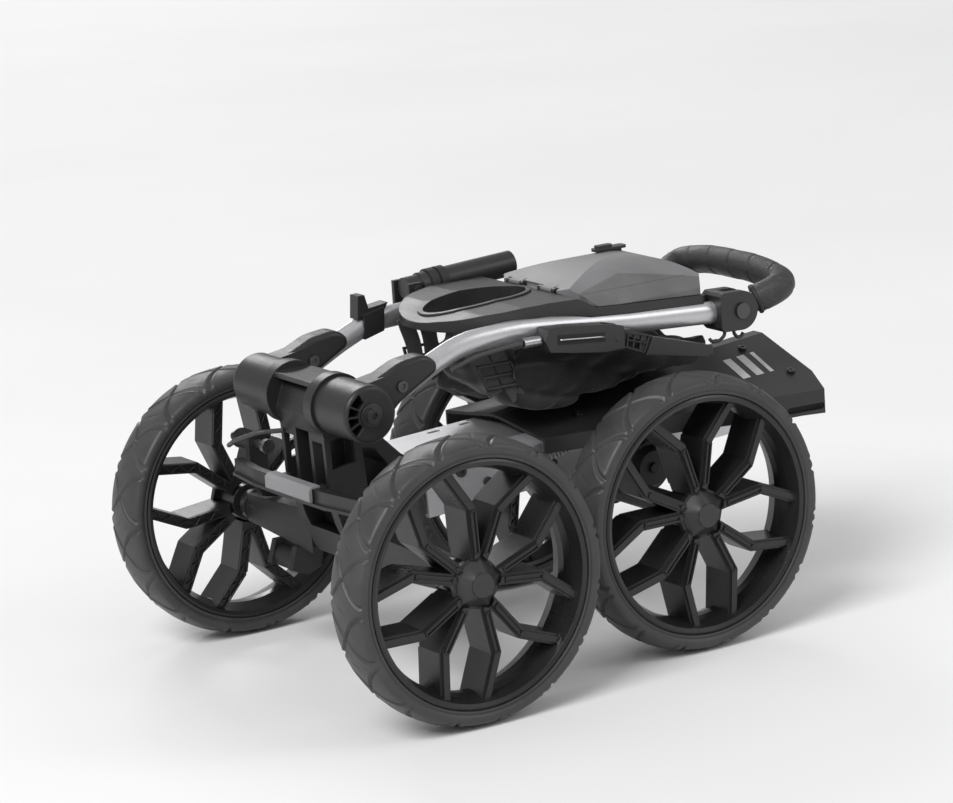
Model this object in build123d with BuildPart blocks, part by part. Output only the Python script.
from build123d import *
import math
import os

# Folded four-wheel golf push cart.
# +X runs from the rear (wide) axle to the front (narrow) axle, Y is across the
# cart, +Z is up. The origin is on the ground, under the middle of the cart.
# All lengths are in millimetres.

os.makedirs("parts", exist_ok=True)

# ---------------------------------------------------------------- dimensions
WHEEL_R = 146.0          # tyre outer radius
TYRE_HALF_W = 29.0       # half of the tyre width
RIM_SEAT_R = 126.0       # where the tyre sits on the rim
RIM_IN_R = 113.0         # inside of the rim barrel
AXLE_Z = 146.0
REAR_X, REAR_Y = -195.0, 230.0
FRONT_X, FRONT_Y = 118.0, 175.0
AXLE_R = 6.0             # wheel axles
HUB_R = 17.0             # wheel hub
BEARING_R = 11.0
RUN_GAP = 0.05           # running fit, radial

PIVOT_X, PIVOT_Z = -224.5, 300.0   # main fold axis, along Y
PIVOT_R = 8.0
KNUCKLE_R = 30.0
YOKE_HALF = 52.0
KNUCKLE_OUT = 116.0

TUBE_Y = 88.0
TUBE_H, TUBE_W = 24.0, 18.0
TUBE_PATH = [(-172, 314), (-137, 331), (-97, 347), (-30, 349.5), (110, 335.5), (228, 327.5)]
TUBE_RADII = [200, 120, 300, 500]

TILT_X, TILT_Z = 245.0, 328.0      # handle tilt axis
GRIP_R = 15.5
BAR_R = 11.0

CARRIER_X, CARRIER_Z = 250.0, 207.0  # front carrier fold axis
CARRIER_R = 6.0

COVER_END = 341.0
SPINE_X0, SPINE_Z0, SPINE_SLOPE, SPINE_LEN = -128.0, 224.0, 0.05, 398.0


def save(builder, name):
    builder.part.label = name
    export_step(builder.part, f"parts/{name}.step")


def wheel_plane(x, y):
    """Plane at the wheel centre whose +Z points outboard and +X along the cart."""
    s = 1 if y > 0 else -1
    return Plane(origin=(x, y, AXLE_Z), x_dir=(1, 0, 0), z_dir=(0, s, 0))


def radial_plane(x, y):
    """Plane through the wheel axis: local X radial, local Y outboard."""
    s = 1 if y > 0 else -1
    return Plane(origin=(x, y, AXLE_Z), x_dir=(1, 0, 0), z_dir=(0, 0, s))


def spoke_arm(sign):
    """Centre line of one arm of a spoke pair, from hub corner to rim."""
    return [(22, sign * 3.5), (75, sign * 16.8), (117, sign * 58)]


# ---------------------------------------------------------------- wheels
def make_wheel(tag, x, y, phase):
    wp = wheel_plane(x, y)
    rp = radial_plane(x, y)
    s = 1 if y > 0 else -1
    spin = Axis((x, y, AXLE_Z), (0, s, 0))

    # airless tyre, a ring of solid section
    with BuildPart() as tyre:
        with BuildSketch(rp) as sk:
            with BuildLine():
                Polyline((RIM_SEAT_R, -25), (131, -29), (140, -29), (145.2, -20), (146, 0),
                         (145.2, 20), (140, 29), (131, 29), (RIM_SEAT_R, 25), close=True)
            make_face()
        revolve(axis=spin)
    save(tyre, f"tyre_{tag}")

    # rim barrel, ten kinked arms in five pairs, and the hub
    with BuildPart() as rim:
        with BuildSketch(rp):
            with BuildLine():
                Polyline((RIM_SEAT_R, -26.5), (RIM_SEAT_R, 26.5), (123.5, 28), (119.5, 26.5), (115, 12),
                         (RIM_IN_R, 2), (RIM_IN_R, -8), (119.5, -26.5), (123.5, -28), close=True)
            make_face()
        revolve(axis=spin)
        with BuildSketch(wp.offset(-23)):
            Circle(HUB_R + 3)
        extrude(amount=36)
        for k in range(5):
            for sign in (1, -1):
                a = math.radians(phase + 72 * k)
                pts = []
                for (u, v) in spoke_arm(sign):
                    pts.append((u * math.cos(a) - v * math.sin(a), u * math.sin(a) + v * math.cos(a)))
                # the arm is a deep web; its outer edge steps inboard towards the hub
                with BuildSketch(wp.offset(-20)):
                    with BuildLine() as path:
                        Polyline(*pts)
                    trace(lines=path.line, line_width=11.5)
                extrude(amount=38)
                # narrow raised edge on the outer side
                with BuildSketch(wp.offset(17.9)):
                    with BuildLine() as path2:
                        Polyline(*pts)
                    trace(lines=path2.line, line_width=6.5)
                extrude(amount=3.1)
        # pentagonal boss behind the cap
        with BuildSketch(wp.offset(10)):
            RegularPolygon(32, 5, rotation=phase)
        extrude(amount=6)
        # seat of the hub cap
        with BuildSketch(wp.offset(16)):
            RegularPolygon(29.4, 5, rotation=phase)
        extrude(amount=10, mode=Mode.SUBTRACT)
        # bearing seats and axle clearance
        with BuildSketch(wp.offset(-30)):
            Circle(AXLE_R + 1.5)
        extrude(amount=60, mode=Mode.SUBTRACT)
        with BuildSketch(wp.offset(-23)):
            Circle(BEARING_R)
        extrude(amount=8, mode=Mode.SUBTRACT)
        with BuildSketch(wp.offset(8)):
            Circle(BEARING_R)
        extrude(amount=8, mode=Mode.SUBTRACT)
        # nothing of the arms stands outside the rim seat
        with BuildSketch(wp.offset(-30)):
            Circle(160)
            Circle(RIM_SEAT_R, mode=Mode.SUBTRACT)
        extrude(amount=60, mode=Mode.SUBTRACT)
    save(rim, f"rim_{tag}")

    # pair of sealed bearings
    with BuildPart() as bearings:
        for h in (-23, 8):
            with BuildSketch(wp.offset(h)):
                Circle(BEARING_R)
                Circle(AXLE_R + RUN_GAP, mode=Mode.SUBTRACT)
            extrude(amount=7.5)
    save(bearings, f"bearings_{tag}")

    # five-sided hub cap that tapers to a round flat face
    with BuildPart() as cap:
        with BuildSketch(wp.offset(16)) as base:
            RegularPolygon(29, 5, rotation=phase)
        with BuildSketch(wp.offset(28)) as top:
            Circle(12.5)
        loft()
        with BuildSketch(wp.offset(28)):
            Circle(12.5)
        extrude(amount=1.5)
        with BuildSketch(wp.offset(15.9)):
            Circle(10)
        extrude(amount=8, mode=Mode.SUBTRACT)
    save(cap, f"hub_cap_{tag}")


make_wheel("rear_near", REAR_X, -REAR_Y, 7.2)
make_wheel("rear_far", REAR_X, REAR_Y, 16.0)
make_wheel("front_near", FRONT_X, -FRONT_Y, 22.0)
make_wheel("front_far", FRONT_X, FRONT_Y, 40.0)


def axle(name, x, y_half):
    """Cross axle with a shoulder collar just inboard of each wheel and a lock washer outboard."""
    with BuildPart() as ax:
        with BuildSketch(Plane(origin=(x, -(y_half + 19), AXLE_Z), x_dir=(1, 0, 0), z_dir=(0, 1, 0))):
            Circle(AXLE_R)
        extrude(amount=2 * (y_half + 19))
        for s in (1, -1):
            with BuildSketch(Plane(origin=(x, s * (y_half - 24), AXLE_Z), x_dir=(1, 0, 0), z_dir=(0, -s, 0))):
                Circle(9.5)
            extrude(amount=5)
    save(ax, name)


axle("rear_axle", REAR_X, REAR_Y)
axle("front_axle", FRONT_X, FRONT_Y)

# ---------------------------------------------------------------- rear yoke and axle housing
with BuildPart() as yoke:
    # waist of the casting, seen from the side, with deep pockets
    with BuildSketch(Plane.XZ.offset(-44)) as sk:
        with BuildLine():
            Polyline((-247, 288), (-240, 268), (-238, 215), (-226, 172), (-208, 128), (-180, 128), (-168, 160),
                     (-160, 196), (-130, 199), (-130, 219), (-152, 236), (-178, 262), (-198, 288), (-206, 306), (-240, 306), close=True)
        make_face()
    extrude(amount=88)
    # pockets from the rear face, three bays
    with BuildSketch(Plane.YZ.offset(-260)) as pk:
        with Locations((0, 238)):
            Rectangle(26, 62)
        with Locations((-29, 232), (29, 232)):
            Rectangle(20, 56)
        with Locations((0, 176)):
            Rectangle(60, 34)
    extrude(amount=58, mode=Mode.SUBTRACT)
    # pockets from both sides between the ribs
    with BuildSketch(Plane.XZ.offset(-60)) as sp:
        with BuildLine():
            Polyline((-190, 176), (-196, 250), (-182, 246), (-166, 226), (-172, 196), close=True)
        make_face()
    extrude(amount=120, mode=Mode.SUBTRACT)
    with BuildSketch(Plane.XZ.offset(-60)):
        with BuildLine():
            Polyline((-232, 232), (-233, 262), (-206, 270), (-204, 236), close=True)
        make_face()
    extrude(amount=28, mode=Mode.SUBTRACT)
    with BuildSketch(Plane.XZ.offset(32)):
        with BuildLine():
            Polyline((-232, 232), (-233, 262), (-206, 270), (-204, 236), close=True)
        make_face()
    extrude(amount=28, mode=Mode.SUBTRACT)
    # two collars and a core round the main pivot
    with BuildSketch(Plane.XZ.offset(-YOKE_HALF)):
        with Locations((PIVOT_X, PIVOT_Z)):
            Circle(33)
    extrude(amount=15)
    with BuildSketch(Plane.XZ.offset(YOKE_HALF - 15)):
        with Locations((PIVOT_X, PIVOT_Z)):
            Circle(33)
    extrude(amount=15)
    with BuildSketch(Plane.XZ.offset(-YOKE_HALF)):
        with Locations((PIVOT_X, PIVOT_Z)):
            Circle(17)
    extrude(amount=2 * YOKE_HALF)
    with BuildSketch(Plane.XZ.offset(-YOKE_HALF)):
        with Locations((PIVOT_X, PIVOT_Z + 22)):
            Rectangle(44, 5)
        with Locations((PIVOT_X + 21, PIVOT_Z)):
            Rectangle(5, 40)
    extrude(amount=2 * YOKE_HALF)
    # bore for the pivot shaft
    with BuildSketch(Plane.XZ.offset(-60)):
        with Locations((PIVOT_X, PIVOT_Z)):
            Circle(PIVOT_R + 0.02)
    extrude(amount=120, mode=Mode.SUBTRACT)
    # seat of the rear axle housing
    with BuildSketch(Plane.XZ.offset(-60)):
        with Locations((REAR_X, AXLE_Z)):
            Circle(13)
    extrude(amount=120, mode=Mode.SUBTRACT)
save(yoke, "yoke")

# tapered cross casting that carries the rear axle, with webs on its underside
with BuildPart() as rear_housing:
    with BuildSketch(Plane.XZ.offset(-196)):
        with Locations((REAR_X, AXLE_Z)):
            Circle(13)
    extrude(amount=392)
    for s in (1, -1):
        with BuildSketch(Plane(origin=(REAR_X, s * 46, AXLE_Z), x_dir=(1, 0, 0), z_dir=(0, s, 0))):
            Rectangle(34, 46)
        with BuildSketch(Plane(origin=(REAR_X, s * 190, AXLE_Z), x_dir=(1, 0, 0), z_dir=(0, s, 0))):
            Rectangle(24, 30)
        loft()
        with BuildSketch(Plane(origin=(REAR_X, s * 190, AXLE_Z), x_dir=(1, 0, 0), z_dir=(0, s, 0))):
            Circle(17)
        extrude(amount=8)
        # weight-saving windows
        for yy in (74, 108, 142):
            with BuildSketch(Plane.XZ.offset(-s * yy - 12)):
                with Locations((REAR_X + 12, AXLE_Z)):
                    Rectangle(14, 18)
            extrude(amount=24, mode=Mode.SUBTRACT)
    with BuildSketch(Plane.XZ.offset(-230)):
        with Locations((REAR_X, AXLE_Z)):
            Circle(AXLE_R + 0.02)
    extrude(amount=460, mode=Mode.SUBTRACT)
save(rear_housing, "rear_axle_housing")

# main pivot shaft with a socket-head bolt at each end
with BuildPart() as pivot_shaft:
    with BuildSketch(Plane.XZ.offset(-(KNUCKLE_OUT + 0.5))):
        with Locations((PIVOT_X, PIVOT_Z)):
            Circle(PIVOT_R)
    extrude(amount=2 * (KNUCKLE_OUT + 0.5))
    for s in (1, -1):
        pl = Plane(origin=(PIVOT_X, s * (KNUCKLE_OUT + 0.5), PIVOT_Z), x_dir=(1, 0, 0), z_dir=(0, s, 0))
        with BuildSketch(pl):
            Circle(12)
        extrude(amount=1.6)
        with BuildSketch(pl.offset(1.6)):
            Circle(8)
        extrude(amount=5)
        with BuildSketch(pl.offset(3.6)):
            RegularPolygon(4, 6)
        extrude(amount=4, mode=Mode.SUBTRACT)
save(pivot_shaft, "pivot_shaft")

# ---------------------------------------------------------------- spine
spine_dir = Vector(1, 0, SPINE_SLOPE).normalized()
spine_pl = Plane(origin=(SPINE_X0, 0, SPINE_Z0), x_dir=(0, 1, 0), z_dir=(spine_dir.X, 0, spine_dir.Z))


def spine_z(x):
    return SPINE_Z0 + SPINE_SLOPE * (x - SPINE_X0)


with BuildPart() as spine:
    with BuildSketch(spine_pl) as sk:
        with BuildLine():
            Polyline((-50, 0), (50, 0), (50, -62), (43, -62), (43, -59), (47, -59), (47, -3),
                     (-47, -3), (-47, -59), (-43, -59), (-43, -62), (-50, -62), close=True)
        make_face()
    extrude(amount=SPINE_LEN)
    # row of screw slots along the far edge of the top plate
    with BuildSketch(Plane.XY.offset(200)):
        for xx in (-60, -20, 20):
            with Locations((xx, 38)):
                SlotOverall(16, 6)
    extrude(amount=60, mode=Mode.SUBTRACT)
    # side cut-outs that let the front carrier and the axle stand clear
    with BuildSketch(Plane.XZ.offset(-60)):
        with BuildLine():
            Polyline((60, 100), (60, 176), (78, 196), (165, 198), (186, 178), (186, 100), close=True)
        make_face()
    extrude(amount=120, mode=Mode.SUBTRACT)
    with BuildSketch(Plane.XZ.offset(-60)):
        with Locations((CARRIER_X, CARRIER_Z)):
            Circle(CARRIER_R + 0.02)
    extrude(amount=120, mode=Mode.SUBTRACT)
save(spine, "spine_channel")

# roof-shaped cover over the spine: ridge on the centre line, eaves on both sides
def roof_section(pl_x, ridge, eave_y, eave_z, t, skirt):
    with BuildSketch(Plane.YZ.offset(pl_x)) as sk:
        with BuildLine():
            Polyline((-eave_y, eave_z - skirt), (-eave_y, eave_z), (-8, ridge), (8, ridge), (eave_y, eave_z),
                     (eave_y, eave_z - skirt), (eave_y - t, eave_z - skirt), (eave_y - t, eave_z - t - 0.4),
                     (7, ridge - t), (-7, ridge - t), (-eave_y + t, eave_z - t - 0.4), (-eave_y + t, eave_z - skirt), close=True)
        make_face()
    return sk.sketch


roof_a = roof_section(-8, 243, 96, 232.5, 3.2, 16)
roof_b = roof_section(150, 257.5, 113, 233.5, 3.2, 20)
roof_c = roof_section(COVER_END, 274, 132, 232, 3.2, 27)
with BuildPart() as cover:
    loft(sections=[roof_a, roof_b], ruled=True)
    loft(sections=[roof_b, roof_c], ruled=True)
    # the front end is closed by a sloped lip below the eaves, raked back at the corners
    with BuildSketch(Plane.XY.offset(180)):
        with BuildLine():
            Polyline((COVER_END + 1, -92), (COVER_END + 1, -140), (COVER_END - 14, -140), close=True)
        make_face()
        with BuildLine():
            Polyline((COVER_END + 1, 92), (COVER_END + 1, 140), (COVER_END - 14, 140), close=True)
        make_face()
    extrude(amount=120, mode=Mode.SUBTRACT)
    # long slot in each skirt near the front corner
    with BuildSketch(Plane.XZ.offset(-150)):
        with Locations((306, 214)):
            SlotOverall(46, 7)
    extrude(amount=300, mode=Mode.SUBTRACT)
save(cover, "spine_cover")

# front closing cap of the cover, with a long slot
with BuildPart() as end_cap:
    with BuildSketch(Plane.YZ.offset(COVER_END - 22)) as sk:
        with BuildLine():
            Polyline((-118, 214), (-118, 228), (-7, 266), (7, 266), (118, 228), (118, 214), close=True)
        make_face()
    extrude(amount=6)
    with BuildSketch(Plane.YZ.offset(COVER_END - 30)):
        with Locations((-58, 226), (58, 226)):
            SlotOverall(80, 9)
    extrude(amount=30, mode=Mode.SUBTRACT)
save(end_cap, "cover_end_cap")


# screws of the spine and its cover, and the two shoulder bolts of the stay spring
with BuildPart() as frame_screws:
    for xx in (-112, -84):
        for s in (1, -1):
            pl = Plane(origin=(xx, s * 50, spine_z(xx) - 22), x_dir=(1, 0, 0), z_dir=(0, s, 0))
            with BuildSketch(pl):
                Circle(6)
            extrude(amount=3)
            with BuildSketch(pl.offset(1)):
                RegularPolygon(2.8, 6)
            extrude(amount=3, mode=Mode.SUBTRACT)
    for xx in (-52, 30, 226):
        for s in (1, -1):
            pl = Plane(origin=(xx, s * 50, spine_z(xx) - 40), x_dir=(1, 0, 0), z_dir=(0, s, 0))
            with BuildSketch(pl):
                Circle(5)
            extrude(amount=2.6)
    for (xx, yy) in ((300, -26), (318, -88), (300, 26), (318, 88), (60, -60), (60, 60)):
        f = (xx + 8) / (COVER_END + 8)
        ridge = 243 + 31 * f
        ev_y = 96 + 36 * f
        zz = ridge - (ridge - 232) * (abs(yy) - 8) / (ev_y - 8) if abs(yy) > 8 else ridge
        sl = math.atan2(ridge - 232, ev_y - 8)
        n = Vector(0, math.copysign(math.sin(sl), yy), math.cos(sl)) if abs(yy) > 8 else Vector(0, 0, 1)
        pl = Plane(origin=(xx, yy, zz + 1.0), x_dir=(1, 0, 0), z_dir=(n.X, n.Y, n.Z))
        with BuildSketch(pl):
            Circle(4.5)
        extrude(amount=2.4)
        with BuildSketch(pl.offset(1.0)):
            RegularPolygon(2.2, 6)
        extrude(amount=2, mode=Mode.SUBTRACT)
    for (px, pz) in ((2, 203), (66, 213.3)):
        with BuildSketch(Plane.XZ.offset(50)):
            with Locations((px, pz)):
                Circle(4)
        extrude(amount=20)
        with BuildSketch(Plane.XZ.offset(70)):
            with Locations((px, pz)):
                Circle(6.5)
        extrude(amount=3)
save(frame_screws, "frame_screws")

# ---------------------------------------------------------------- bag cradle at the rear
cradle_pts = [(-248, -126), (-256, -70), (-257.5, 0), (-256, 70), (-248, 126)]
with BuildPart() as cradle:
    with BuildSketch(Plane.XY.offset(205)):
        with BuildLine() as ln:
            FilletPolyline(*cradle_pts, radius=90)
        trace(lines=ln.line, line_width=9)
    extrude(amount=14)
    # thin lip under the bar
    with BuildSketch(Plane.XY.offset(201.5)):
        with BuildLine() as ln2:
            FilletPolyline(*cradle_pts, radius=90)
        trace(lines=ln2.line, line_width=15)
    extrude(amount=3.5)
    # struts to the yoke, with a brace below each
    for s in (1, -1):
        with BuildSketch(Plane.XZ.offset(-s * 36 - 5)):
            with BuildLine():
                Polyline((-256, 203), (-256, 217), (-238.2, 217), (-238.2, 196), (-242, 190), close=True)
            make_face()
        extrude(amount=10)
        with BuildSketch(Plane.XZ.offset(-s * 92 - 3)):
            with BuildLine():
                Polyline((-256, 203), (-250, 217), (-247, 217), (-247, 203), close=True)
            make_face()
        extrude(amount=6)
save(cradle, "cradle_bar")

# rubber pad on the middle of the cradle bar
with BuildPart() as pad:
    with BuildSketch(Plane.XZ.offset(-38)):
        with BuildLine():
            Polyline((-266.5, 206.5), (-266.5, 218), (-263, 221.5), (-253, 221.5), (-253, 219.05), (-262.4, 219.05), (-262.4, 205.2), (-265, 205.2), close=True)
        make_face()
    extrude(amount=90)
save(pad, "cradle_pad")

# ---------------------------------------------------------------- parking brake at the rear far wheel
with BuildPart() as brake_arm:
    with BuildSketch(Plane.XZ.offset(-150)):
        with BuildLine():
            Polyline((-226, 238), (-206, 238), (-203, 176), (-190, 165), (-200, 165), (-214, 168), (-226, 190), close=True)
        make_face()
    extrude(amount=9)
    with BuildSketch(Plane.XZ.offset(-178)):
        with Locations((-215, 226)):
            Circle(11)
    extrude(amount=37)
    with BuildSketch(Plane.XZ.offset(-190)):
        with Locations((-215, 226)):
            Circle(5.05)
    extrude(amount=60, mode=Mode.SUBTRACT)
save(brake_arm, "brake_arm")

# spring-loaded pin that enters the spokes of the far rear wheel
with BuildPart() as brake_pin:
    with BuildSketch(Plane.XZ.offset(-192)):
        with Locations((-215, 226)):
            Circle(5)
    extrude(amount=74)
    with BuildSketch(Plane.XZ.offset(-124)):
        with Locations((-215, 226)):
            Circle(8)
    extrude(amount=6)
save(brake_pin, "brake_pin")

# foot roller and its bracket under the rear housing
with BuildPart() as foot_bar:
    with BuildSketch(Plane.XZ.offset(-128)):
        with BuildLine():
            Polyline((-214, 124.5), (-180, 124.5), (-186, 98), (-202, 92), (-222, 100), close=True)
        make_face()
    extrude(amount=8)
    with BuildSketch(Plane.XZ.offset(-84)):
        with BuildLine():
            Polyline((-214, 124.5), (-180, 124.5), (-186, 98), (-202, 92), (-222, 100), close=True)
        make_face()
    extrude(amount=8)
    with BuildSketch(Plane.XZ.offset(-128)):
        with Locations((-206, 106)):
            Circle(6)
    extrude(amount=52)
save(foot_bar, "foot_bracket")

with BuildPart() as foot_roller:
    with BuildSketch(Plane.XZ.offset(-119.5)):
        with Locations((-206, 106)):
            Circle(12)
            Circle(6.1, mode=Mode.SUBTRACT)
    extrude(amount=35)
save(foot_roller, "foot_roller")

# ---------------------------------------------------------------- front carrier
with BuildPart() as carrier:
    with BuildSketch(Plane.XZ.offset(-34)):
        with BuildLine():
            Polyline((FRONT_X - 16, 146), (FRONT_X - 6, 164), (FRONT_X + 30, 182), (CARRIER_X - 30, 214), (CARRIER_X, 222),
                     (CARRIER_X + 14, 207), (CARRIER_X, 192), (FRONT_X + 90, 168), (FRONT_X + 40, 134), (FRONT_X, 128), close=True)
        make_face()
        with Locations((CARRIER_X, CARRIER_Z)):
            Circle(15)
        with Locations((FRONT_X, AXLE_Z)):
            Circle(18)
        with Locations((FRONT_X + 46, 160)):
            Circle(27)
    extrude(amount=68)
    # hollow between two cheeks
    with BuildSketch(Plane.XZ.offset(-24)):
        with BuildLine():
            Polyline((FRONT_X + 24, 120), (FRONT_X + 24, 158), (CARRIER_X - 22, 204), (CARRIER_X - 18, 150), close=True)
        make_face()
    extrude(amount=48, mode=Mode.SUBTRACT)
    # outer tube round the axle
    with BuildSketch(Plane.XZ.offset(-144)):
        with Locations((FRONT_X, AXLE_Z)):
            Circle(13)
    extrude(amount=288)
    with BuildSketch(Plane.XZ.offset(-160)):
        with Locations((FRONT_X, AXLE_Z)):
            Circle(AXLE_R)
        with Locations((CARRIER_X, CARRIER_Z)):
            Circle(CARRIER_R + RUN_GAP)
    extrude(amount=320, mode=Mode.SUBTRACT)
    for s in (1, -1):
        pl = Plane(origin=(FRONT_X + 46, s * 34, 160), x_dir=(1, 0, 0), z_dir=(0, s, 0))
        with BuildSketch(pl):
            Circle(24)
        with BuildSketch(pl.offset(9)):
            Circle(19)
        loft()
        with BuildSketch(pl.offset(9)):
            Circle(6)
        extrude(amount=3)
save(carrier, "front_carrier")


with BuildPart() as carrier_pin:
    with BuildSketch(Plane.XZ.offset(-54)):
        with Locations((CARRIER_X, CARRIER_Z)):
            Circle(CARRIER_R)
    extrude(amount=108)
    for s in (1, -1):
        with BuildSketch(Plane(origin=(CARRIER_X, s * 50.3, CARRIER_Z), x_dir=(1, 0, 0), z_dir=(0, s, 0))):
            Circle(10)
        extrude(amount=4)
save(carrier_pin, "carrier_pin")

# stay spring on the near side of the spine
spring_a = (0, -62, 196)
with BuildPart() as spring:
    with BuildSketch(Plane(origin=(8, -62, 204), x_dir=(0, 1, 0), z_dir=(1, 0, 0.16))):
        Circle(7)
        Circle(4, mode=Mode.SUBTRACT)
    extrude(amount=52)
save(spring, "stay_spring")

# ---------------------------------------------------------------- upper frame: elbows and arched tubes
def knuckle(name, s):
    # arm that turns forward and grips the tube, with well-rounded edges
    with BuildPart() as arm:
        with BuildSketch(Plane.XZ.offset(-s * TUBE_Y - 14)):
            with BuildLine():
                FilletPolyline((-205, 331), (-176, 343.5), (-146, 347), (-127, 331), (-150, 318.5), (-180, 302), (-202, 281),
                               radius=[40, 22, 9, 60, 60])
                Polyline((-202, 281), (-224, 290), (-224, 328), (-205, 331))
            make_face()
        extrude(amount=28)
        fillet(arm.edges().filter_by(lambda e: abs(abs(e.center().Y - s * TUBE_Y) - 14) < 0.1 and e.center().X > -200), 6)
    with BuildPart() as kn:
        pl = Plane(origin=(PIVOT_X, s * (YOKE_HALF + 0.5), PIVOT_Z), x_dir=(1, 0, 0), z_dir=(0, s, 0))
        with BuildSketch(pl):
            Circle(KNUCKLE_R)
        extrude(amount=KNUCKLE_OUT - YOKE_HALF - 0.5)
        fillet(kn.edges().filter_by(GeomType.CIRCLE).sort_by(lambda e: -abs(e.center().Y))[0], 5)
        add(arm.part)
        # cut-out in the rear of the barrel near its outer end, with two ribs left standing
        with BuildSketch(Plane(origin=(PIVOT_X, s * (KNUCKLE_OUT + 1), PIVOT_Z), x_dir=(1, 0, 0), z_dir=(0, s, 0))):
            for a0, a1_ in ((118, 150), (155, 176), (181, 202), (207, 228)):
                aa, ab = math.radians(a0), math.radians(a1_)
                q = [(r * math.cos(t), -s * r * math.sin(t)) for (r, t) in ((15, aa), (15, ab), (26.5, ab), (26.5, aa))]
                with BuildLine():
                    Polyline(*q, close=True)
                make_face()
        extrude(amount=-22, mode=Mode.SUBTRACT)
        # socket for the tube and bore for the pivot
        with BuildLine(Plane.XZ.offset(-s * TUBE_Y)) as p:
            FilletPolyline(*TUBE_PATH, radius=TUBE_RADII)
        with BuildSketch(Plane(origin=p.line @ 0, x_dir=(0, 1, 0), z_dir=p.line % 0)):
            Ellipse(TUBE_W / 2 + 0.02, TUBE_H / 2 + 0.02)
        sweep(path=p.line, mode=Mode.SUBTRACT)
        with BuildSketch(Plane(origin=(PIVOT_X, s * 40, PIVOT_Z), x_dir=(1, 0, 0), z_dir=(0, s, 0))):
            Circle(PIVOT_R + RUN_GAP)
        extrude(amount=90, mode=Mode.SUBTRACT)
    save(kn, name)


def arched_tube(name, s):
    with BuildPart() as tb:
        with BuildLine(Plane.XZ.offset(-s * TUBE_Y)) as p:
            FilletPolyline(*TUBE_PATH, radius=TUBE_RADII)
        with BuildSketch(Plane(origin=p.line @ 0, x_dir=(0, 1, 0), z_dir=p.line % 0)):
            Ellipse(TUBE_W / 2, TUBE_H / 2)
            Ellipse(TUBE_W / 2 - 1.8, TUBE_H / 2 - 1.8, mode=Mode.SUBTRACT)
        sweep(path=p.line)
    save(tb, name)
    return tb


knuckle("knuckle_near", -1)
knuckle("knuckle_far", 1)
tube_near = arched_tube("frame_tube_near", -1)
tube_far = arched_tube("frame_tube_far", 1)

with BuildPart() as knuckle_bolts:
    for s in (1, -1):
        for side in (1, -1):
            pl = Plane(origin=(-178, s * TUBE_Y + side * 14, 319), x_dir=(1, 0, 0), z_dir=(0, side, 0))
            with BuildSketch(pl):
                Circle(6)
            extrude(amount=2.2)
            with BuildSketch(pl.offset(0.9)):
                RegularPolygon(3, 6)
            extrude(amount=3, mode=Mode.SUBTRACT)
save(knuckle_bolts, "knuckle_bolts")


# clearance shape of both tubes, taken out of whatever is clipped over them
with BuildPart() as groove:
    for s in (1, -1):
        with BuildLine(Plane.XZ.offset(-s * TUBE_Y)) as p:
            FilletPolyline(*TUBE_PATH, radius=TUBE_RADII)
        with BuildSketch(Plane(origin=p.line @ 0, x_dir=(0, 1, 0), z_dir=p.line % 0)):
            Ellipse(TUBE_W / 2 + 0.15, TUBE_H / 2 + 0.15)
        sweep(path=p.line)


# ---------------------------------------------------------------- console
NOSE_X, NOSE_R = -22.0, 78.0
with BuildPart() as console:
    with BuildSketch(Plane.XY.offset(290)) as sk:
        with BuildLine():
            l1 = Polyline((10, -88), (60, -94), (205, -92), (214, -84), (214, 84), (205, 92), (60, 94), (10, 88))
            l2 = ThreePointArc((10, 88), (NOSE_X - NOSE_R, 0), (10, -88))
        make_face()
    extrude(amount=110)
    with BuildSketch(Plane.XZ.offset(-100)) as sk2:
        with BuildLine():
            Polyline((-105, 351), (-60, 351), (10, 347), (110, 335), (215, 322), (215, 347), (200, 350), (70, 358), (46, 371),
                     (-20, 372), (-60, 368.5), (-92, 362), (-105, 356.5), close=True)
        make_face()
    extrude(amount=200, mode=Mode.INTERSECT)
    # oval cup well
    with BuildSketch(Plane.XY.offset(330)):
        with Locations((-22, 0)):
            Ellipse(66, 40)
    extrude(amount=60, mode=Mode.SUBTRACT)
    # tray under the lid
    with BuildSketch(Plane.XY.offset(341)):
        with Locations((133, 0)):
            Rectangle(134, 150)
    extrude(amount=50, mode=Mode.SUBTRACT)
    add(groove.part, mode=Mode.SUBTRACT)
    # two hinge pins for the lid, each between a pair of ears
    for s in (1, -1):
        with BuildSketch(Plane.XZ.offset(-s * 30 - 10.5)):
            with Locations((50, 372.5)):
                Circle(3.6)
        extrude(amount=21, mode=Mode.SUBTRACT)
        for yc in (17, 43):
            with BuildSketch(Plane.XZ.offset(-s * yc - 2.5)):
                with BuildLine():
                    Polyline((47.2, 368), (47.2, 372.5), (51.5, 372.5), (51.5, 367), close=True)
                make_face()
                with Locations((50, 372.5)):
                    Circle(3)
            extrude(amount=5)
        with BuildSketch(Plane.XZ.offset(-s * 30 - 15)):
            with Locations((50, 372.5)):
                Circle(1.5)
        extrude(amount=30)
    # pin of the latch, in two ears on the front wall
    for s in (1, -1):
        with BuildSketch(Plane.XZ.offset(-s * 19.5 - 1.5)):
            with BuildLine():
                Polyline((210, 325), (221.7, 325), (221.7, 331), (210, 331), close=True)
            make_face()
            with Locations((221.7, 328)):
                Circle(3)
        extrude(amount=3)
    with BuildSketch(Plane.XZ.offset(-19)):
        with Locations((221.7, 328)):
            Circle(1.45)
    extrude(amount=38)
save(console, "console_base")

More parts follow.
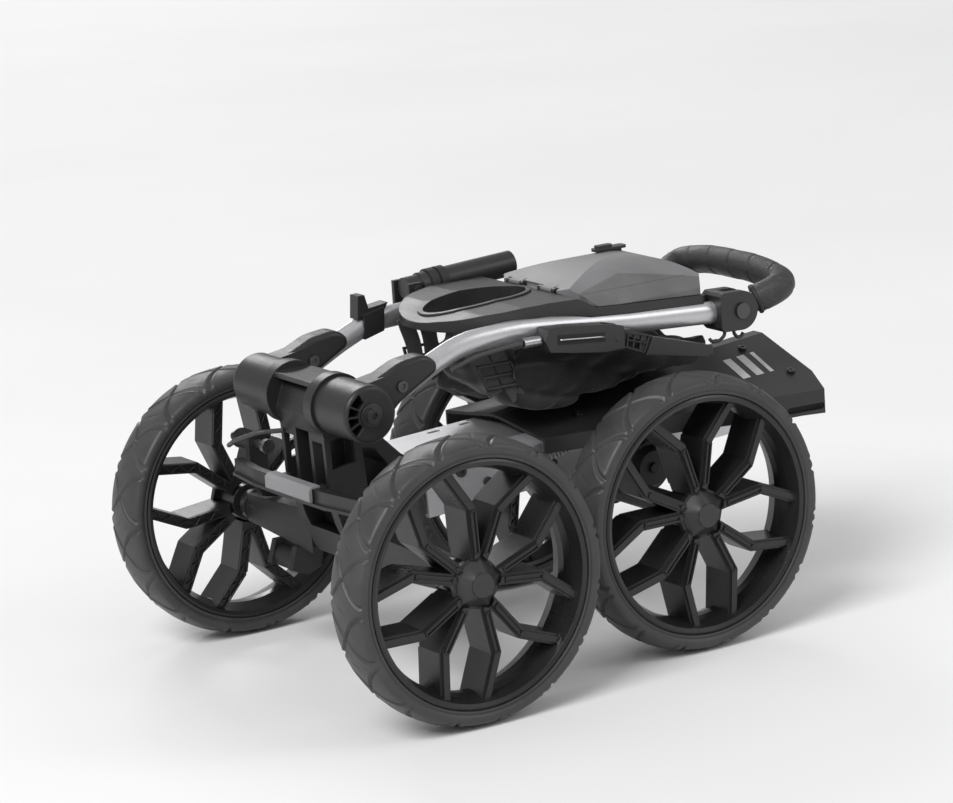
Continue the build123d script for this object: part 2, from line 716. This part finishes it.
# soft ring that lines the cup well
with BuildPart() as cup_ring:
    with BuildSketch(Plane.XY.offset(350)):
        with Locations((-22, 0)):
            Ellipse(65.8, 39.8)
            Ellipse(60.5, 34.5, mode=Mode.SUBTRACT)
    extrude(amount=24.5)
    with BuildSketch(Plane.XZ.offset(-60)):
        with BuildLine():
            Polyline((-95, 349), (-95, 363.5), (-60, 370), (-20, 373.6), (50, 373), (50, 349), close=True)
        make_face()
    extrude(amount=120, mode=Mode.INTERSECT)
save(cup_ring, "cup_ring")

# crowned lid: plan outline cut by a long arch and a cross arch
LID_X0, LID_X1 = 49.0, 216.0
with BuildPart() as lid:
    with BuildSketch(Plane.XY.offset(335)):
        with BuildLine():
            Polyline((LID_X0, -52), (LID_X0 + 26, -91), (203, -90), (LID_X1, -70), (LID_X1, 70), (203, 90), (LID_X0 + 26, 91), (LID_X0, 52), close=True)
        make_face()
    extrude(amount=70)
    with BuildSketch(Plane.XZ.offset(-100)) as s1:
        with BuildLine():
            a1 = Spline((49, 374), (90, 385), (140, 390.5), (190, 384), (216, 366))
            Polyline(a1 @ 1, (216, 347.4), (200, 350.4), (70.5, 358.4), (49, 370.5), a1 @ 0)
        make_face()
    extrude(amount=200, mode=Mode.INTERSECT)
    with BuildSketch(Plane.YZ.offset(40)) as s2:
        with BuildLine():
            b1 = ThreePointArc((-96, 352), (0, 391), (96, 352))
            Polyline(b1 @ 1, (96, 330), (-96, 330), b1 @ 0)
        make_face()
    extrude(amount=200, mode=Mode.INTERSECT)
    # hollow underside
    with BuildSketch(Plane.XY.offset(330)):
        with Locations((133, 0)):
            Rectangle(130, 146)
    extrude(amount=40, mode=Mode.SUBTRACT)
    # room for the hinge ears, and two hinge barrels
    with BuildSketch(Plane.XZ.offset(-48)):
        with Locations((50, 372.5)):
            Circle(4.2)
    extrude(amount=96, mode=Mode.SUBTRACT)
    for s in (1, -1):
        with BuildSketch(Plane.XZ.offset(-s * 30 - 10)):
            with BuildLine():
                Polyline((50, 370.2), (50, 375), (58, 377), (58, 370.2), close=True)
            make_face()
            with Locations((50, 372.5)):
                Circle(3.1)
        extrude(amount=20)
        with BuildSketch(Plane.XZ.offset(-s * 30 - 12)):
            with Locations((50, 372.5)):
                Circle(1.55)
        extrude(amount=24, mode=Mode.SUBTRACT)
save(lid, "console_lid")

# ball-marker clip on the lid and the latch at its front end
with BuildPart() as lid_clip:
    with BuildSketch(Plane.XY.offset(390.8)):
        with Locations((165, 22)):
            RectangleRounded(40, 13, 4)
    extrude(amount=3)
    with BuildSketch(Plane.XY.offset(393.8)):
        with Locations((158, 22)):
            RectangleRounded(20, 9, 3)
    extrude(amount=3)
    with BuildSketch(Plane.XY.offset(380)):
        with Locations((165, 22)):
            RectangleRounded(30, 8, 2)
    extrude(amount=10.8)
    add(lid.part, mode=Mode.SUBTRACT)
save(lid_clip, "lid_clip")

with BuildPart() as latch:
    with BuildSketch(Plane.XZ.offset(17)):
        with BuildLine():
            Polyline((218.7, 328), (224.7, 328), (226, 350), (222, 368), (216.5, 371), (216.5, 366.5), (218.5, 362), (217.5, 350), close=True)
        make_face()
        with Locations((221.7, 328)):
            Circle(3)
    extrude(amount=-34)
    with BuildSketch(Plane.XZ.offset(20)):
        with Locations((221.7, 328)):
            Circle(1.5)
    extrude(amount=-40, mode=Mode.SUBTRACT)
save(latch, "lid_latch")

# ---------------------------------------------------------------- handle clamps, handle bar and grip
def clamp_block(name, s):
    with BuildPart() as cb:
        with BuildSketch(Plane.XZ.offset(-s * TUBE_Y - 17)):
            with BuildLine():
                Polyline((218, 312), (222, 308), (TILT_X, 307), (TILT_X, 349), (222, 350), (218, 346), close=True)
            make_face()
            with Locations((TILT_X, TILT_Z)):
                Circle(21)
        extrude(amount=34)
        # slot for the tongue of the handle bar
        with BuildSketch(Plane.XZ.offset(-s * TUBE_Y - 6.3)):
            with BuildLine():
                Polyline((231, 300), (231, 356), (280, 356), (280, 300), close=True)
            make_face()
        extrude(amount=12.6, mode=Mode.SUBTRACT)
        with BuildSketch(Plane.XZ.offset(-s * TUBE_Y - 30)):
            with Locations((TILT_X, TILT_Z)):
                Circle(5.02)
        extrude(amount=60, mode=Mode.SUBTRACT)
        # oblong window on top
        with BuildSketch(Plane.XY.offset(340)):
            with Locations((242, s * (TUBE_Y + 0))):
                SlotOverall(24, 12)
        extrude(amount=20, mode=Mode.SUBTRACT)
        with BuildLine(Plane.XZ.offset(-s * TUBE_Y)) as p:
            FilletPolyline(*TUBE_PATH, radius=TUBE_RADII)
        with BuildSketch(Plane(origin=p.line @ 0, x_dir=(0, 1, 0), z_dir=p.line % 0)):
            Ellipse(TUBE_W / 2 + 0.02, TUBE_H / 2 + 0.02)
        sweep(path=p.line, mode=Mode.SUBTRACT)
    save(cb, name)


clamp_block("handle_clamp_near", -1)
clamp_block("handle_clamp_far", 1)

with BuildPart() as clamp_pins:
    for s in (1, -1):
        with BuildSketch(Plane(origin=(TILT_X, s * (TUBE_Y - 19), TILT_Z), x_dir=(1, 0, 0), z_dir=(0, s, 0))):
            Circle(5)
        extrude(amount=38)
        for yy, d in ((TUBE_Y + 17.2, 1), (TUBE_Y - 17.2, -1)):
            with BuildSketch(Plane(origin=(TILT_X, s * yy, TILT_Z), x_dir=(1, 0, 0), z_dir=(0, s * d, 0))):
                Circle(8.5)
            extrude(amount=2.8)
save(clamp_pins, "clamp_pins")

bar_pts = [(273, -88, 330.5), (311, -106.5, 346), (312.5, -44, 355), (312.5, 44, 355), (311, 106.5, 346), (273, 88, 330.5)]
bar_radii = [24, 90, 90, 24]
with BuildPart() as handle_bar:
    for s in (1, -1):
        with BuildSketch(Plane.XZ.offset(-s * TUBE_Y - 6)):
            with BuildLine():
                Polyline((TILT_X, 318), (276, 322), (279, 338), (TILT_X, 338), close=True)
            make_face()
            with Locations((TILT_X, TILT_Z)):
                Circle(11)
        extrude(amount=12)
        with BuildSketch(Plane.XZ.offset(-s * TUBE_Y - 20)):
            with Locations((TILT_X, TILT_Z)):
                Circle(5 + RUN_GAP)
        extrude(amount=40, mode=Mode.SUBTRACT)
    # core bar inside the grip
    with BuildLine() as bl:
        FilletPolyline(*bar_pts, radius=bar_radii)
    with BuildSketch(Plane(origin=bl.line @ 0, z_dir=bl.line % 0)):
        Circle(BAR_R)
    sweep(path=bl.line)
save(handle_bar, "handle_bar")

grip_start = Vector(*bar_pts[0]) + (Vector(*bar_pts[1]) - Vector(*bar_pts[0])).normalized() * 4
with BuildPart() as grip:
    with BuildLine() as gl:
        FilletPolyline((grip_start.X, grip_start.Y, grip_start.Z), *bar_pts[1:5], (grip_start.X, -grip_start.Y, grip_start.Z), radius=bar_radii)
    with BuildSketch(Plane(origin=gl.line @ 0, z_dir=gl.line % 0)):
        Circle(GRIP_R)
        Circle(BAR_R + 0.02, mode=Mode.SUBTRACT)
    sweep(path=gl.line)
save(grip, "handle_grip")

# ---------------------------------------------------------------- umbrella tube at the far side
UMB_Y, UMB_X, UMB_Z = 112.0, -30.0, 369.0
umb_dir = Vector(1, 0, 0.05).normalized()
with BuildPart() as umbrella:
    with BuildSketch(Plane(origin=(UMB_X + 8, UMB_Y, UMB_Z), x_dir=(0, 1, 0), z_dir=(umb_dir.X, 0, umb_dir.Z))):
        Circle(14)
        Circle(11.5, mode=Mode.SUBTRACT)
    extrude(amount=118)
    with BuildSketch(Plane(origin=(UMB_X - 10, UMB_Y, UMB_Z - 0.5), x_dir=(0, 1, 0), z_dir=(umb_dir.X, 0, umb_dir.Z))):
        Circle(12)
    extrude(amount=19)
    with BuildSketch(Plane.XZ.offset(-UMB_Y - 20)):
        with Locations((UMB_X - 3, UMB_Z)):
            Circle(4.05)
    extrude(amount=40, mode=Mode.SUBTRACT)
save(umbrella, "umbrella_tube")

with BuildPart() as umb_strap:
    for dx in (18, 30):
        with BuildSketch(Plane(origin=(UMB_X + dx, UMB_Y, UMB_Z + 0.05 * (dx - 8)), x_dir=(0, 1, 0), z_dir=(umb_dir.X, 0, umb_dir.Z))):
            Circle(16.2)
            Circle(14.02, mode=Mode.SUBTRACT)
        extrude(amount=9)
save(umb_strap, "umbrella_strap")

with BuildPart() as umb_bracket:
    with BuildSketch(Plane.XZ.offset(-UMB_Y - 18.5)):
        with BuildLine():
            Polyline((UMB_X - 14, 376), (UMB_X + 3, 376), (UMB_X + 3, 342), (UMB_X - 14, 342), close=True)
        make_face()
    extrude(amount=5)
    with BuildSketch(Plane.XZ.offset(-UMB_Y + 12.5)):
        with BuildLine():
            Polyline((UMB_X - 14, 376), (UMB_X + 3, 376), (UMB_X + 3, 342), (UMB_X - 14, 342), close=True)
        make_face()
    extrude(amount=5)
    with BuildSketch(Plane.XY.offset(342)):
        with Locations((UMB_X - 5.5, UMB_Y - 6.5)):
            Rectangle(17, 50)
    extrude(amount=7)
    add(groove.part, mode=Mode.SUBTRACT)
    with BuildSketch(Plane.XZ.offset(-UMB_Y - 20)):
        with Locations((UMB_X - 3, UMB_Z)):
            Circle(4)
    extrude(amount=40)
save(umb_bracket, "umbrella_bracket")


# strap hook on the far tube
with BuildPart() as hook:
    with BuildSketch(Plane.XZ.offset(-96)):
        with BuildLine():
            Polyline((-112, 353.5), (-84, 358.5), (-80, 365), (-104, 362), (-108, 377), (-116, 377), (-118, 352), close=True)
        make_face()
    extrude(amount=16)
    with BuildSketch(Plane.XZ.offset(-98.5)):
        with BuildLine():
            Polyline((-112, 330), (-88, 336), (-86, 361), (-112, 356), close=True)
        make_face()
    extrude(amount=21)
    add(groove.part, mode=Mode.SUBTRACT)
save(hook, "strap_hook")

# ---------------------------------------------------------------- parking brake control on the near tube
with BuildPart() as brake_box:
    with BuildSketch(Plane.XZ.offset(98)) as bs:
        with BuildLine():
            Polyline((-14, 340), (-8, 352), (20, 350), (70, 344), (84, 340), (84, 316), (60, 316), (20, 322), (-8, 327), close=True)
        make_face()
    extrude(amount=20)
    with BuildSketch(Plane.XZ.offset(90)):
        with BuildLine():
            Polyline((10, 334), (70, 326), (70, 322), (10, 328), close=True)
        make_face()
    extrude(amount=9)
    # fork for the lever
    with BuildSketch(Plane.XZ.offset(103)):
        with BuildLine():
            Polyline((62, 312), (62, 356), (90, 356), (90, 312), close=True)
        make_face()
    extrude(amount=10.6, mode=Mode.SUBTRACT)
    add(groove.part, mode=Mode.SUBTRACT)
    # lever pin
    with BuildSketch(Plane.XZ.offset(99)):
        with Locations((76, 328)):
            Circle(3)
    extrude(amount=19.5)
save(brake_box, "brake_housing")

with BuildPart() as lever:
    with BuildSketch(Plane.XZ.offset(103.3)):
        with Locations((76, 328)):
            Circle(8)
        with BuildLine():
            Polyline((76, 336), (96, 334), (122, 322), (196, 300), (198, 292), (190, 289), (112, 304), (76, 320), close=True)
        make_face()
    extrude(amount=10)
    with BuildSketch(Plane.XZ.offset(99.5)):
        with BuildLine():
            Polyline((122, 322), (196, 300), (198, 292), (190, 289), (112, 304), close=True)
        make_face()
    extrude(amount=17)
    with BuildSketch(Plane.XZ.offset(98)):
        with BuildLine():
            Polyline((92, 327), (112, 318), (106, 311), (92, 316), close=True)
        make_face()
    extrude(amount=20, mode=Mode.SUBTRACT)
    with BuildSketch(Plane.XZ.offset(96)):
        with Locations((76, 328)):
            Circle(3 + RUN_GAP)
    extrude(amount=30, mode=Mode.SUBTRACT)
save(lever, "brake_lever")


# barrel adjuster and the brake cable that runs down the frame tube to the fold axis
with BuildPart() as adjuster:
    with BuildSketch(Plane(origin=(-15, -108, 339.5), x_dir=(0, 1, 0), z_dir=(-1, 0, 0.02))):
        Circle(5.5)
        Circle(2.6, mode=Mode.SUBTRACT)
    extrude(amount=20)
save(adjuster, "barrel_adjuster")

CABLE_R = 2.5
with BuildPart() as cable_up:
    with BuildLine() as cu:
        FilletPolyline((-35.5, -108, 339.9), (-60, -105, 338), (-86, -98, 333.5), (-113, -93, 323.5), radius=70)
    with BuildSketch(Plane(origin=cu.line @ 0, z_dir=cu.line % 0)):
        Circle(CABLE_R)
    sweep(path=cu.line)
save(cable_up, "brake_cable_upper")

with BuildPart() as cable_low:
    with BuildLine() as cl:
        FilletPolyline((-241, 38, 262), (-264, 50, 262), (-276, 80, 250), (-266, 112, 238), (-245, 135, 235), (-227.6, 145.2, 234), radius=20)
    with BuildSketch(Plane(origin=cl.line @ 0, z_dir=cl.line % 0)):
        Circle(CABLE_R)
    sweep(path=cl.line)
save(cable_low, "brake_cable_lower")

# ---------------------------------------------------------------- storage bag under the console
with BuildPart() as bag:
    with BuildSketch(Plane.XZ.offset(-84)):
        with BuildLine():
            Polyline((-34, 312), (-30, 262), (-8, 251), (90, 260), (200, 272), (222, 284), (214, 306), (100, 318), (0, 330), (-24, 328), close=True)
        make_face()
    extrude(amount=168)
    with BuildSketch(Plane.YZ.offset(-60)):
        with BuildLine():
            Polyline((-84, 262), (-70, 250), (70, 250), (84, 262), (84, 310), (76, 320), (72, 340), (-72, 340), (-76, 320), (-84, 310), close=True)
        make_face()
    extrude(amount=320, mode=Mode.INTERSECT)
save(bag, "storage_bag")

# webbing straps and their buckle between the near and far tubes, at the mouth of the bag
with BuildPart() as straps:
    for (xx, zz) in ((-72, 300), (-50, 292)):
        with BuildSketch(Plane.XZ.offset(-70)):
            with BuildLine():
                Polyline((xx - 9, 334), (xx + 9, 334), (xx + 12, zz - 14), (xx - 7, zz - 16), close=True)
            make_face()
        extrude(amount=3)
        with BuildSketch(Plane.XZ.offset(67)):
            with BuildLine():
                Polyline((xx - 9, 334), (xx + 9, 334), (xx + 12, zz - 14), (xx - 7, zz - 16), close=True)
            make_face()
        extrude(amount=3)
save(straps, "bag_straps")
